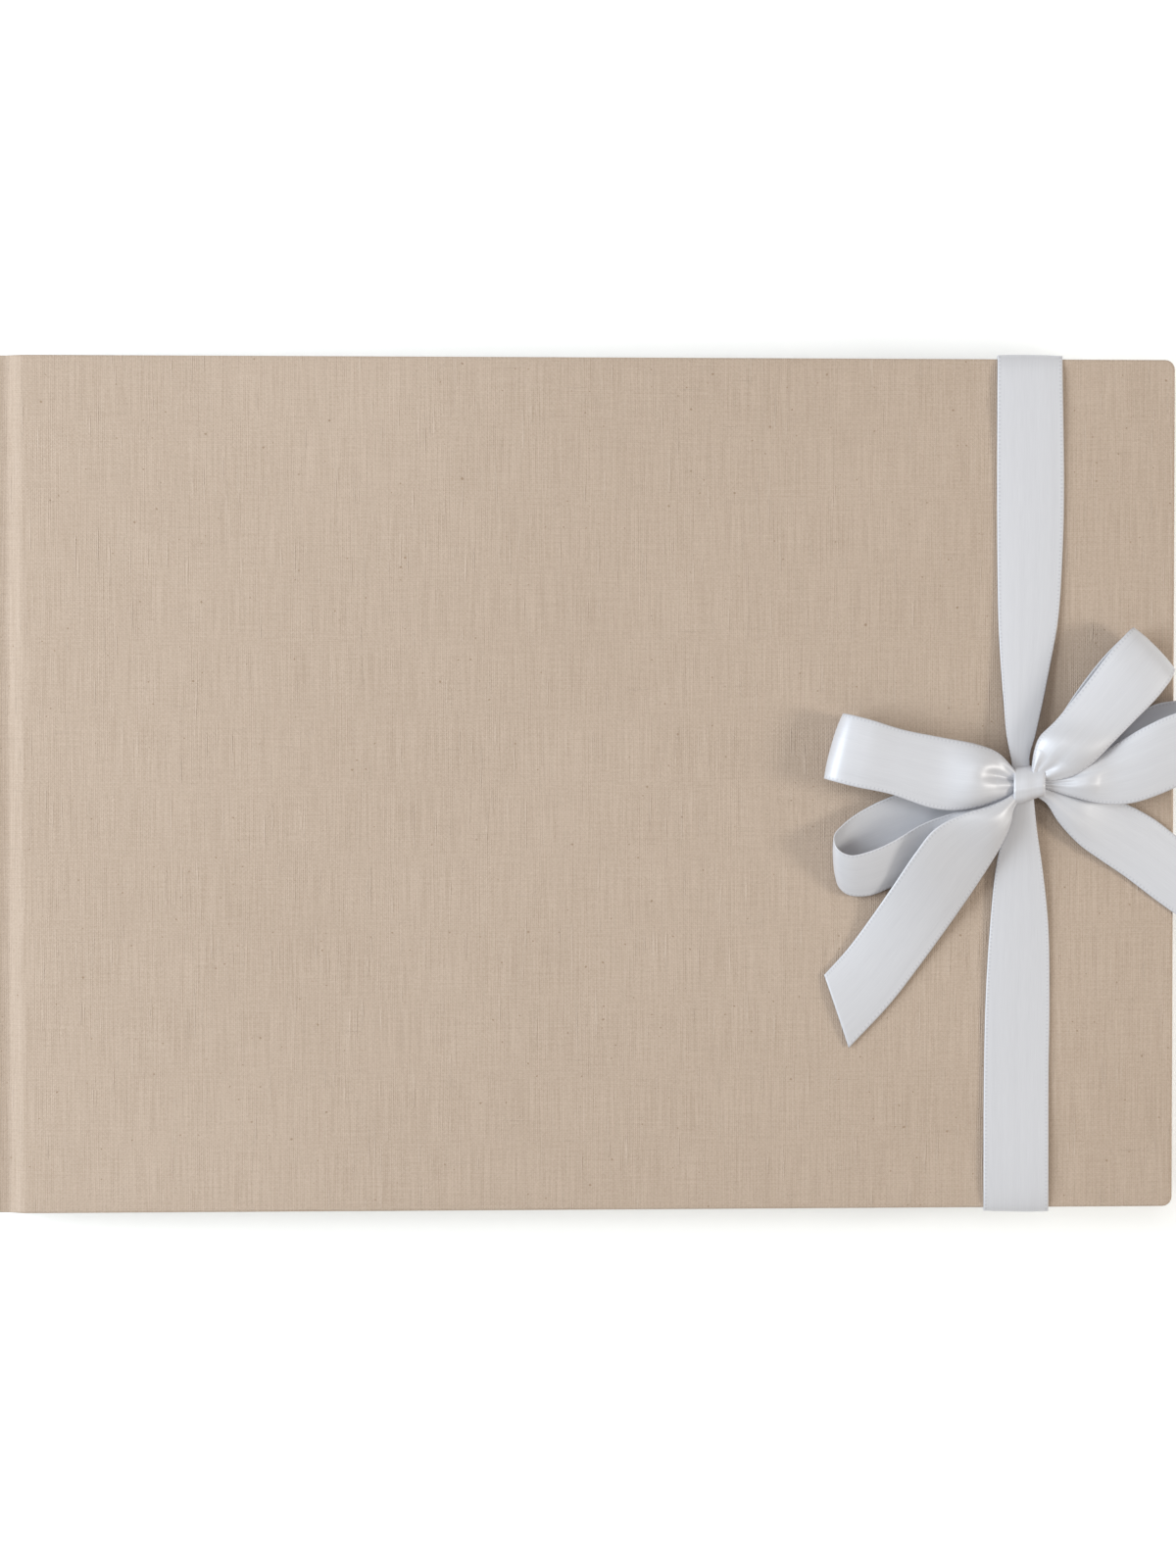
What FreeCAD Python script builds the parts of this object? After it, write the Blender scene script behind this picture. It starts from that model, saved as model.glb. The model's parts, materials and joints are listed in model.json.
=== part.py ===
import FreeCAD, Part
import os
import Sketcher

# A casebound guest book in landscape form, closed, with a ribbon bow on its front cover.
# Origin: centre of the outer face of the back cover, on the surface the book lies on.
# +X runs to the fore edge, +Y to the head, +Z up through the front cover. Millimetres.

SIZES = [
    ("leaf_width", 297, "leaf, spine fold to fore edge"),
    ("leaf_height", 210, "leaf, tail to head"),
    ("leaf_thickness", 0.2, "one leaf of card-weight paper"),
    ("section_thickness", 2, "one sewn section, ten leaves"),
    ("sections_per_half", 4, "sections that lie with each cover"),
    ("turning_leaves", 4, "loose leaves between the halves"),
    ("fold_radius", 0.9, "rounding of a section's folded edge"),
    ("leaf_air", 0.05, "air between leaves that part"),
    ("board_square", 3, "cover beyond the leaves at head, tail and fore edge"),
    ("board_thickness", 2.4, "cover board"),
    ("cloth_thickness", 0.4, "linen with its paper backing"),
    ("pastedown_thickness", 0.2, "endpaper glued inside a cover"),
    ("turn_in", 15, "linen folded over inside a cover"),
    ("corner_radius", 2.5, "rounding of the fore-edge corners"),
    ("hinge_gap", 8, "leaves' spine edge to the cover board"),
    ("groove_width", 4.5, "leaves' spine edge to the foot of the groove's slope"),
    ("cloth_flex", 1.2, "linen kept clear of the hinge line"),
    ("paper_flex", 0.6, "pastedown kept clear of the hinge line"),
    ("thread_gap", 0.3, "folds to the mull, where the sewing lies"),
    ("thread_diameter", 0.2, "linen sewing thread"),
    ("thread_stations", 6, "sewing stations along the spine"),
    ("thread_end", 15, "leaf end to the outer sewing station"),
    ("mull_thickness", 0.2, "gauze glued along the folds"),
    ("mull_end", 12, "leaf end to the end of the mull"),
    ("lining_thickness", 0.15, "paper lining over the mull"),
    ("lining_end", 6, "leaf end to the end of the lining"),
    ("tape_thickness", 0.1, "tape of a head band"),
    ("tape_length", 11, "tape of a head band, along the spine"),
    ("band_radius", 0.7, "bead of a head band"),
    ("band_air", 0.2, "leaf end to the bead"),
    ("hollow_air", 0.15, "band tape to the spine board"),
    ("spine_air", 0.3, "hinge lines to what is glued on the spine"),
    ("ribbon_width", 16, "satin ribbon"),
    ("ribbon_thickness", 0.3, "satin ribbon"),
    ("ribbon_side_air", 0.3, "ribbon to the side of its channel"),
    ("ribbon_inset", 38.3, "fore edge to the middle of the ribbon"),
    ("knot_radius", 5, "knot, seen from above"),
    ("knot_height", 9, "knot, bottom to top"),
    ("knot_round", 2.5, "rounding of the knot"),
    ("tail_rise", 0.5, "cover to the underside of a tail"),
    ("tail_start", 2, "knot's middle to the start of a tail"),
    ("tail_neck", 3, "tail's width under the knot"),
    ("tail_spread", 22, "knot's middle to where a tail is flat"),
    ("tail_slant", 11, "slant of a tail's cut end"),
    ("left_tail_length", 78, "knot's middle to the tip"),
    ("left_tail_turn", 230, "degrees from +X"),
    ("right_tail_length", 70, "knot's middle to the tip"),
    ("right_tail_turn", 319, "degrees from +X"),
    ("loop_rise", 7.5, "cover to the middle of a loop"),
    ("loop_radius", 6, "round end of a loop"),
    ("loop_neck", 1.2, "half a loop's height at the knot"),
    ("loop_flare", 0.296, "half a loop's width, as a share of its distance from the knot's middle"),
    ("trim_margin", 1, "how far a trimming cut passes the ribbon"),
    ("upper_left_length", 50, "knot's middle to the round end"),
    ("upper_left_turn", 169, "degrees from +X"),
    ("lower_left_length", 53, "knot's middle to the round end"),
    ("lower_left_turn", 206, "degrees from +X"),
    ("upper_right_length", 47, "knot's middle to the round end"),
    ("upper_right_turn", 47, "degrees from +X"),
    ("lower_right_length", 52, "knot's middle to the round end"),
    ("lower_right_turn", 10, "degrees from +X"),
]

# Places and sizes that follow from the sheet's values, in the order they build on each other.
PLACES = [
    ("cover_stack", "Sizes.cloth_thickness + Sizes.board_thickness + Sizes.pastedown_thickness"),
    ("case_half", "(cover_stack + Sizes.leaf_width + Sizes.board_square) / 2"),
    ("fore_edge", "case_half"),
    ("block_edge", "cover_stack - case_half"),
    ("leaf_end", "block_edge + Sizes.leaf_width"),
    ("leaf_half", "Sizes.leaf_height / 2"),
    ("cover_half", "leaf_half + Sizes.board_square"),
    ("board_edge", "block_edge + Sizes.hinge_gap"),
    ("groove_foot", "block_edge + Sizes.groove_width"),
    ("half_block", "Sizes.leaf_thickness + Sizes.sections_per_half * Sizes.section_thickness"),
    ("leaf_pitch", "Sizes.leaf_thickness + Sizes.leaf_air"),
    ("leaf_pack", "Sizes.turning_leaves * leaf_pitch + Sizes.leaf_air"),
    ("back_hinge", "cover_stack"),
    ("front_hinge", "back_hinge + 2 * half_block + leaf_pack"),
    ("top", "front_hinge + cover_stack"),
    ("mull_face", "block_edge - Sizes.thread_gap"),
    ("lining_face", "mull_face - Sizes.mull_thickness"),
    ("tape_face", "lining_face - Sizes.lining_thickness"),
    ("spine_board_face", "tape_face - Sizes.tape_thickness - Sizes.hollow_air"),
    ("ribbon_middle", "fore_edge - Sizes.ribbon_inset"),
    ("channel_half", "Sizes.ribbon_width / 2 + Sizes.ribbon_side_air"),
    ("loop_spread", "Sizes.ribbon_width / (2 * Sizes.loop_flare)"),
]

doc = FreeCAD.newDocument("guest_book")
nodes = []


def fill_sheet():
    """Put the driving dimensions in the sheet, one aliased number a row."""
    sheet = doc.addObject("Spreadsheet::Sheet", "Sizes")
    for row, (alias, value, meaning) in enumerate(SIZES, start=1):
        sheet.set(f"A{row}", meaning)
        sheet.set(f"B{row}", str(value))
        sheet.setAlias(f"B{row}", alias)
    doc.recompute()


def fill_places():
    """Work out the places that several pieces share, each bound to the sheet."""
    places = doc.addObject("App::VarSet", "Places")
    for name, _ in PLACES:
        places.addProperty("App::PropertyFloat", name)
    for name, expression in PLACES:
        places.setExpression(name, expression)
    doc.recompute()
    return places


fill_sheet()
places = fill_places()


def value(expression):
    """The number that an expression on the sheet and the places comes to now."""
    return float(places.evalExpression(expression))


def bind(thing, **expressions):
    """Tie properties to expressions. Two underscores in a name stand for a dot."""
    for path, expression in expressions.items():
        thing.setExpression(path.replace("__", "."), expression)


def keep(thing):
    """Count a finished piece among those that are written."""
    nodes.append(thing)


def box(label, x, y, z):
    """A plain box between two places along each axis."""
    piece = doc.addObject("Part::Box", label)
    bind(
        piece,
        Length=f"({x[1]}) - ({x[0]})",
        Width=f"({y[1]}) - ({y[0]})",
        Height=f"({z[1]}) - ({z[0]})",
        Placement__Base__x=x[0],
        Placement__Base__y=y[0],
        Placement__Base__z=z[0],
    )
    keep(piece)


def sketch_on(body, role, offset="0"):
    """An empty sketch on one of the body's own origin planes, moved along the plane's normal."""
    sketch = body.newObject("Sketcher::SketchObject", f"{body.Name}_outline")
    plane = next(f for f in body.Origin.OriginFeatures if f.Role == role)
    sketch.AttachmentSupport = [(plane, "")]
    sketch.MapMode = "FlatFace"
    bind(sketch, AttachmentOffset__Base__z=offset)
    return sketch


def hold(sketch, kind, geometry, position, expression):
    """Tie one coordinate of a sketched point to an expression."""
    constraint = Sketcher.Constraint(kind, -1, 1, geometry, position, value(expression))
    index = sketch.addConstraint(constraint)
    sketch.setExpression(f"Constraints[{index}]", expression)


def draw(sketch, corners):
    """A closed outline. A corner is (x, y), or (x, y, middle_x, middle_y) where the edge that
    leaves it is an arc about that middle, drawn clockwise or not as the short way goes."""
    first = sketch.GeometryCount
    spots = [[value(part) for part in corner] for corner in corners]
    for number, spot in enumerate(spots):
        after = spots[(number + 1) % len(spots)]
        start = FreeCAD.Vector(spot[0], spot[1], 0)
        end = FreeCAD.Vector(after[0], after[1], 0)
        if len(spot) == 2:
            sketch.addGeometry(Part.LineSegment(start, end), False)
            continue
        middle = FreeCAD.Vector(spot[2], spot[3], 0)
        radius = (start - middle).Length
        outward = (start + end) / 2 - middle
        if outward.Length < 1e-6 * radius:
            outward = FreeCAD.Vector(0, 0, 1).cross(start - middle) * -1
        between = middle + outward.normalize() * radius
        sketch.addGeometry(Part.Arc(start, between, end), False)
    for number, corner in enumerate(corners):
        tie_corner(sketch, first, number, len(corners), corner)


def tie_corner(sketch, first, number, count, corner):
    """Fix a corner's place, join the edges that meet there and fix an arc's middle."""
    here = first + number
    before = first + (number - 1) % count
    spot = FreeCAD.Vector(value(corner[0]), value(corner[1]), 0)
    near = 1 if (sketch.getPoint(here, 1) - spot).Length < 1e-6 else 2
    far = 2 if (sketch.getPoint(before, 2) - spot).Length < 1e-6 else 1
    sketch.addConstraint(Sketcher.Constraint("Coincident", before, far, here, near))
    hold(sketch, "DistanceX", here, near, corner[0])
    hold(sketch, "DistanceY", here, near, corner[1])
    if len(corner) == 4:
        hold(sketch, "DistanceX", here, 3, corner[2])


def grow(body, kind, sketch, length):
    """A pad or pocket that runs half its length to each side of its sketch."""
    feature = body.newObject(kind, f"{body.Name}_{kind.split('::')[1].lower()}")
    feature.Profile = sketch
    feature.SideType = "Symmetric"
    bind(feature, Length=length)
    return feature


def solid(label, role, offset, corners, length):
    """A body made of one outline, drawn out evenly to both sides of its plane."""
    body = doc.addObject("PartDesign::Body", label)
    sketch = sketch_on(body, role, offset)
    draw(sketch, corners)
    grow(body, "PartDesign::Pad", sketch, length)
    return body


def change(body, kind, role, offset, outlines, length):
    """Another pad or pocket on a body, from one or more closed outlines."""
    sketch = sketch_on(body, role, offset)
    for corners in outlines:
        draw(sketch, corners)
    body.Tip = grow(body, kind, sketch, length)


def rectangle(x0, x1, y0, y1):
    return [(x0, y0), (x1, y0), (x1, y1), (x0, y1)]


def cover_outline(inset):
    """A cover seen from above: square at the hinge, rounded at the fore edge. It is drawn
    smaller than the finished cover by the inset at the head, tail and fore edge."""
    side = f"Places.cover_half - {inset}"
    fore = f"Places.fore_edge - {inset}"
    start = "Places.fore_edge - Sizes.corner_radius"
    turn = "Places.cover_half - Sizes.corner_radius"
    return [
        ("Places.board_edge", f"-({side})"),
        (start, f"-({side})", start, f"-({turn})"),
        (fore, f"-({turn})"),
        (fore, turn, start, turn),
        (start, side),
        ("Places.board_edge", side),
    ]


def turn_in_outline():
    """The linen folded over inside a cover, round its head, fore edge and tail."""
    wide = "Places.cover_half - Sizes.turn_in"
    fore = "Places.fore_edge - Sizes.turn_in"
    inner = [("Places.board_edge", wide), (fore, wide)]
    inner += [(fore, f"-({wide})"), ("Places.board_edge", f"-({wide})")]
    return cover_outline("Sizes.cloth_thickness") + inner


def channel_outline():
    """The way for the ribbon across the inside of the front cover."""
    low = "Places.ribbon_middle - Places.channel_half"
    high = "Places.ribbon_middle + Places.channel_half"
    past = "Places.cover_half + Sizes.trim_margin"
    return rectangle(low, high, f"-({past})", past)


def cover(name, side, hinge):
    """One cover: board, linen and pastedown. Side is +1 for the front and -1 for the back."""
    inner = f"{hinge} + {side} * Sizes.pastedown_thickness"
    outer = f"{hinge} + {side} * Places.cover_stack"
    under = f"{outer} - {side} * Sizes.cloth_thickness"
    folded = f"{inner} + {side} * Sizes.cloth_thickness"
    middle = f"({inner} + {under}) / 2"
    has_ribbon = side > 0

    board = solid(
        f"{name}_board", "XY_Plane", middle,
        cover_outline("Sizes.cloth_thickness"), "Sizes.board_thickness",
    )
    rebate = [turn_in_outline()]
    change(board, "PartDesign::Pocket", "XY_Plane", inner, rebate, "2 * Sizes.cloth_thickness")
    if has_ribbon:
        channel = [channel_outline()]
        depth = "2 * Sizes.ribbon_thickness"
        change(board, "PartDesign::Pocket", "XY_Plane", inner, channel, depth)
    keep(board)

    cloth = solid(
        f"{name}_cover_cloth", "XY_Plane", f"({inner} + {outer}) / 2",
        cover_outline("0"), "Places.cover_stack - Sizes.pastedown_thickness",
    )
    room = [cover_outline("Sizes.cloth_thickness")]
    change(cloth, "PartDesign::Pocket", "XY_Plane", middle, room, "Sizes.board_thickness")
    change(
        cloth, "PartDesign::Pad", "XY_Plane", f"({inner} + {folded}) / 2",
        [turn_in_outline()], "Sizes.cloth_thickness",
    )
    flex = "Places.block_edge + Sizes.cloth_flex"
    groove = [
        (flex, inner),
        ("Places.groove_foot", inner),
        ("Places.board_edge", under),
        ("Places.board_edge", outer),
        ("Places.groove_foot", folded),
        (flex, folded),
    ]
    change(cloth, "PartDesign::Pad", "XZ_Plane", "0", [groove], "2 * Places.cover_half")
    if has_ribbon:
        channel = [channel_outline()]
        depth = "2 * Sizes.cloth_thickness"
        change(cloth, "PartDesign::Pocket", "XY_Plane", inner, channel, depth)
    keep(cloth)

    box(
        f"{name}_pastedown",
        ("Places.block_edge + Sizes.paper_flex", "Places.leaf_end"),
        ("-Places.leaf_half", "Places.leaf_half"),
        (hinge, inner) if side > 0 else (inner, hinge),
    )


def leaf(label, low):
    """One flat leaf, its underside at the given height."""
    box(
        label,
        ("Places.block_edge", "Places.leaf_end"),
        ("-Places.leaf_half", "Places.leaf_half"),
        (low, f"{low} + Sizes.leaf_thickness"),
    )


def section(label, low):
    """One sewn section: ten leaves folded at the spine, where the stack is rounded."""
    high = f"{low} + Sizes.section_thickness"
    bend = "Places.block_edge + Sizes.fold_radius"
    lower = f"{low} + Sizes.fold_radius"
    upper = f"{high} - Sizes.fold_radius"
    corners = [
        (bend, low),
        ("Places.leaf_end", low),
        ("Places.leaf_end", high),
        (bend, high, bend, upper),
        ("Places.block_edge", upper),
        ("Places.block_edge", lower, bend, lower),
    ]
    body = solid(label, "XZ_Plane", "0", corners, "Sizes.leaf_height")
    keep(body)


def text_block():
    """Two halves that lie with the covers, and the leaves that turn between them."""
    per_half = int(value("Sizes.sections_per_half"))
    turning = int(value("Sizes.turning_leaves"))
    leaf("back_flyleaf", "Places.back_hinge")
    leaf("front_flyleaf", "Places.front_hinge - Sizes.leaf_thickness")
    for number in range(1, per_half + 1):
        depth = f"Sizes.leaf_thickness + {number} * Sizes.section_thickness"
        section(f"section_{number}", f"Places.front_hinge - ({depth})")
    for number in range(per_half + 1, 2 * per_half + 1):
        below = 2 * per_half - number
        height = f"Sizes.leaf_thickness + {below} * Sizes.section_thickness"
        section(f"section_{number}", f"Places.back_hinge + {height}")
    for number in range(1, turning + 1):
        drop = f"Places.half_block + {number} * Places.leaf_pitch"
        leaf(f"leaf_{number}", f"Places.front_hinge - ({drop})")


def spine():
    """The stiff spine in its linen, hollow-backed, and what is glued along the folds."""
    back = "Places.block_edge - Places.cover_stack"
    cloth = solid(
        "spine_cloth", "XZ_Plane", "0",
        rectangle(back, "Places.spine_board_face", "0", "Places.top"),
        "2 * Places.cover_half",
    )
    lift = "Sizes.cloth_thickness"
    room = rectangle(
        f"{back} + {lift}", f"Places.spine_board_face + {lift}", lift, f"Places.top - {lift}"
    )
    change(
        cloth, "PartDesign::Pocket", "XZ_Plane", "0", [room],
        f"2 * (Places.cover_half - {lift})",
    )
    keep(cloth)
    side = f"Places.cover_half - {lift}"
    box(
        "spine_board",
        (f"{back} + {lift}", "Places.spine_board_face"),
        (f"-({side})", side),
        (lift, f"Places.top - {lift}"),
    )
    low = "Places.back_hinge + Sizes.spine_air"
    high = "Places.front_hinge - Sizes.spine_air"
    mull_side = "Places.leaf_half - Sizes.mull_end"
    box(
        "spine_mull",
        ("Places.lining_face", "Places.mull_face"), (f"-({mull_side})", mull_side), (low, high),
    )
    lining_side = "Places.leaf_half - Sizes.lining_end"
    box(
        "spine_lining",
        ("Places.tape_face", "Places.lining_face"), (f"-({lining_side})", lining_side), (low, high),
    )
    band("head_band", 1, low, high)
    band("tail_band", -1, low, high)
    sewing(low, high)


def band(label, side, low, high):
    """A head band: a bead over the ends of the leaves, on a tape glued to the spine lining."""
    bead_middle = f"{side} * (Places.leaf_half + Sizes.band_air + Sizes.band_radius)"
    bead_across = "Places.tape_face - Sizes.tape_thickness / 2 + Sizes.band_radius"
    bead = doc.addObject("Part::Cylinder", f"{label}_bead")
    bind(
        bead,
        Radius="Sizes.band_radius",
        Height=f"{high} - ({low})",
        Placement__Base__x=bead_across,
        Placement__Base__y=bead_middle,
        Placement__Base__z=low,
    )
    tape = doc.addObject("Part::Box", f"{label}_tape")
    start = bead_middle if side < 0 else f"{bead_middle} - Sizes.tape_length"
    bind(
        tape,
        Length="Sizes.tape_thickness",
        Width="Sizes.tape_length",
        Height=f"{high} - ({low})",
        Placement__Base__x="Places.tape_face - Sizes.tape_thickness",
        Placement__Base__y=start,
        Placement__Base__z=low,
    )
    whole = doc.addObject("Part::Fuse", label)
    whole.Base = bead
    whole.Tool = tape
    keep(whole)


def sewing(low, high):
    """The thread that links the sections, where it shows along the folds at each station."""
    group = doc.addObject("Part::Compound", "sewing_thread")
    stations = int(value("Sizes.thread_stations"))
    stitches = []
    for number in range(stations):
        share = 2 * number / (stations - 1) - 1
        stitch = doc.addObject("Part::Cylinder", f"stitch_{number + 1}")
        bind(
            stitch,
            Radius="Sizes.thread_diameter / 2",
            Height=f"{high} - ({low})",
            Placement__Base__x="Places.block_edge - Sizes.thread_gap / 2",
            Placement__Base__y=f"{share} * (Places.leaf_half - Sizes.thread_end)",
            Placement__Base__z=low,
        )
        stitches.append(stitch)
    group.Links = stitches
    keep(group)


def ribbon_band():
    """The ribbon round the front cover: over its face, round head and tail, and under its
    pastedown."""
    under = "Places.front_hinge + Sizes.pastedown_thickness"
    body = solid(
        "ribbon_band", "YZ_Plane", "Places.ribbon_middle",
        rectangle(
            "-(Places.cover_half + Sizes.ribbon_thickness)",
            "Places.cover_half + Sizes.ribbon_thickness",
            under,
            "Places.top + Sizes.ribbon_thickness",
        ),
        "Sizes.ribbon_width",
    )
    inside = rectangle(
        "-Places.cover_half", "Places.cover_half",
        f"{under} + Sizes.ribbon_thickness", "Places.top",
    )
    change(
        body, "PartDesign::Pocket", "YZ_Plane", "Places.ribbon_middle", [inside],
        "Sizes.ribbon_width + 2 * Sizes.trim_margin",
    )
    keep(body)


def at_knot(body, turn):
    """Stand a bow piece on the front cover at the knot, turned about the knot's middle."""
    upright = FreeCAD.Rotation(FreeCAD.Vector(0, 0, 1), 1)
    body.Placement = FreeCAD.Placement(FreeCAD.Vector(), upright)
    bind(
        body,
        Placement__Base__x="Places.ribbon_middle",
        Placement__Base__z="Places.top",
        Placement__Rotation__Angle=f"{turn} * 1deg",
    )


def loop_outline(length, inset):
    """A loop from the side: narrow at the knot, opening to a round end."""
    start = f"Sizes.knot_radius + {inset}"
    middle = f"{length} - Sizes.loop_radius"
    neck = f"Sizes.loop_neck - {inset}"
    radius = f"Sizes.loop_radius - {inset}"
    return [
        (start, f"Sizes.loop_rise - ({neck})"),
        (start, f"Sizes.loop_rise + {neck}"),
        (middle, f"Sizes.loop_rise + {radius}", middle, "Sizes.loop_rise"),
        (middle, f"Sizes.loop_rise - ({radius})"),
    ]


def gather_outline(side):
    """What is trimmed off one side of a loop, so that it narrows towards the knot's middle."""
    wide = f"{side} * Sizes.ribbon_width / 2"
    past = f"{side} * (Sizes.ribbon_width / 2 + Sizes.trim_margin)"
    return [("0", "0"), ("Places.loop_spread", wide), ("Places.loop_spread", past), ("0", past)]


def bow_loop(name):
    """One loop of the bow, an open band of ribbon."""
    length = f"Sizes.{name}_length"
    body = solid(
        f"bow_loop_{name}", "XZ_Plane", "0", loop_outline(length, "0"), "Sizes.ribbon_width"
    )
    hollow = [loop_outline(length, "Sizes.ribbon_thickness")]
    through = "Sizes.ribbon_width + 2 * Sizes.trim_margin"
    change(body, "PartDesign::Pocket", "XZ_Plane", "0", hollow, through)
    height = "2 * (Sizes.loop_rise + Sizes.loop_radius + Sizes.trim_margin)"
    for side in (-1, 1):
        change(body, "PartDesign::Pocket", "XY_Plane", "0", [gather_outline(side)], height)
    at_knot(body, f"Sizes.{name}_turn")
    keep(body)


def bow_tail(name):
    """One end of the ribbon, lying on the cover and cut on a slant."""
    half = "Sizes.ribbon_width / 2"
    length = f"Sizes.{name}_tail_length"
    corners = [
        ("Sizes.tail_start", "-Sizes.tail_neck / 2"),
        ("Sizes.tail_spread", f"-{half}"),
        (length, f"-{half}"),
        (f"{length} - Sizes.tail_slant", half),
        ("Sizes.tail_spread", half),
        ("Sizes.tail_start", "Sizes.tail_neck / 2"),
    ]
    height = "Sizes.tail_rise + Sizes.ribbon_thickness / 2"
    body = solid(f"bow_tail_{name}", "XY_Plane", height, corners, "Sizes.ribbon_thickness")
    at_knot(body, f"Sizes.{name}_tail_turn")
    keep(body)


def bow_knot():
    """The knot: a puffed, rounded wrap standing just above the tails."""
    knot = doc.addObject("PartDesign::Body", "bow_knot")
    height = "Sizes.tail_rise + Sizes.ribbon_thickness + Sizes.knot_height / 2"
    sketch = sketch_on(knot, "XY_Plane", height)
    circle = sketch.addGeometry(Part.Circle(), False)
    sketch.addConstraint(Sketcher.Constraint("Coincident", -1, 1, circle, 3))
    index = sketch.addConstraint(Sketcher.Constraint("Radius", circle, value("Sizes.knot_radius")))
    sketch.setExpression(f"Constraints[{index}]", "Sizes.knot_radius")
    pad = grow(knot, "PartDesign::Pad", sketch, "Sizes.knot_height")
    doc.recompute()
    rims = [
        f"Edge{number}"
        for number, edge in enumerate(pad.Shape.Edges, start=1)
        if len(edge.Vertexes) == 1
    ]
    rounding = knot.newObject("PartDesign::Fillet", "knot_rounding")
    rounding.Base = (pad, rims)
    bind(rounding, Radius="Sizes.knot_round")
    knot.Tip = rounding
    at_knot(knot, "0")
    keep(knot)


def check_and_write():
    """Recompute, refuse anything that failed, and write each piece to its own file."""
    doc.recompute()
    for thing in doc.Objects:
        if "Invalid" in thing.State or "Error" in thing.State:
            raise RuntimeError(f"{thing.Label} did not recompute: {thing.State}")
    for piece in nodes:
        if piece.Shape.isNull() or not piece.Shape.isValid() or not piece.Shape.Solids:
            raise RuntimeError(f"{piece.Label} has no valid solid")
    os.makedirs("parts", exist_ok=True)
    for piece in nodes:
        piece.Shape.exportStep(f"parts/{piece.Label}.step")
        print(f"{piece.Label}: {piece.Shape.Volume:.1f} mm3, {len(piece.Shape.Solids)} solids")


cover("back", -1, "Places.back_hinge")
cover("front", 1, "Places.front_hinge")
text_block()
spine()
ribbon_band()
for loop_name in ("upper_left", "lower_left", "upper_right", "lower_right"):
    bow_loop(loop_name)
for tail_name in ("left", "right"):
    bow_tail(tail_name)
bow_knot()
check_and_write()
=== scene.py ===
"""The looks of a casebound guest book: linen case, sewn leaves and a satin ribbon tied in a bow.

It is laid out as an add-on. Each operator makes one piece, or one group of like pieces, around
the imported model, in the model's own frame: +X to the fore edge, +Y to the head, +Z up.
"""

import json
import math

import bpy
import numpy as np
from bpy.props import FloatProperty, FloatVectorProperty, IntProperty, PointerProperty
from mathutils import Matrix, Vector


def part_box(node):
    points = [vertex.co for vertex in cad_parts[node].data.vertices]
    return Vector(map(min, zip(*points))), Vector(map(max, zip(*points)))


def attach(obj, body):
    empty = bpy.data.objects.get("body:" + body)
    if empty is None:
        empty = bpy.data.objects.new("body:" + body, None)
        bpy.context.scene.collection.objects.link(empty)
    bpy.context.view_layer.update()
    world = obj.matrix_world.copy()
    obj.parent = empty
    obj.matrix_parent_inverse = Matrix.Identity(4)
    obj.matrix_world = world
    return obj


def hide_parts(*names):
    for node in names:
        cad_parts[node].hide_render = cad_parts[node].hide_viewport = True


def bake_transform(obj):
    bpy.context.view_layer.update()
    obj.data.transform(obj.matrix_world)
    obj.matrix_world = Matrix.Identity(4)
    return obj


bl_info = {
    "name": "Linen Guest Book",
    "version": (1, 0, 0),
    "blender": (4, 5, 0),
    "location": "View3D > Sidebar > Guest Book",
    "description": "Makes the case, leaves, ribbon and bow of a casebound guest book",
    "category": "Add Mesh",
}

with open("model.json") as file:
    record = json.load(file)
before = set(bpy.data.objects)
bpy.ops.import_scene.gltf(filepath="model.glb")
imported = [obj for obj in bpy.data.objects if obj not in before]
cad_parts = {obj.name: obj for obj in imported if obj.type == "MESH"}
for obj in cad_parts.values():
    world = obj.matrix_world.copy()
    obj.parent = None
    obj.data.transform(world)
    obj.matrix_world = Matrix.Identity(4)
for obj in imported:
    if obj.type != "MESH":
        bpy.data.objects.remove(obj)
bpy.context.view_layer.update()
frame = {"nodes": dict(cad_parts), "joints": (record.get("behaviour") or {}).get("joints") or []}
MM = 0.001
FRONT, BACK = 1, -1
HINGES = {joint["name"]: Vector(joint["pos_m"]) for joint in frame["joints"]}
BLOCK_EDGE = HINGES["front_hinge"].x
HINGE_HEIGHT = {FRONT: HINGES["front_hinge"].z, BACK: HINGES["spine_hinge"].z}
COVER_NAME = {FRONT: "front", BACK: "back"}
CLOTH_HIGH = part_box("front_cover_cloth")[1]
BOARD_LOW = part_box("front_board")[0]
LEAF_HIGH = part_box("leaf_1")[1]
SPINE_LOW, SPINE_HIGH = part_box("spine_cloth")
BAND_LOW, BAND_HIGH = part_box("ribbon_band")
KNOT_LOW, KNOT_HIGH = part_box("bow_knot")
COVER_TOP = CLOTH_HIGH.z
BOOK_MIDDLE = (HINGE_HEIGHT[FRONT] + HINGE_HEIGHT[BACK]) / 2
COVER_STACK = HINGE_HEIGHT[BACK]
SECTIONS, TURNING_LEAVES = 8, 4


# ---- Settings ----


def length(name, description, default):
    return FloatProperty(name=name, description=description, default=default, min=0, unit="LENGTH")


def place(name, description, default):
    return FloatProperty(name=name, description=description, default=default, unit="LENGTH")


def power(name, description, default):
    return FloatProperty(name=name, description=description, default=default, min=0, unit="POWER")


def factor(name, description, default):
    return FloatProperty(name=name, description=description, default=default, subtype="FACTOR")


def colour(name, description, default):
    return FloatVectorProperty(
        name=name, description=description, default=default, min=0, max=1, subtype="COLOR"
    )


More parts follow.
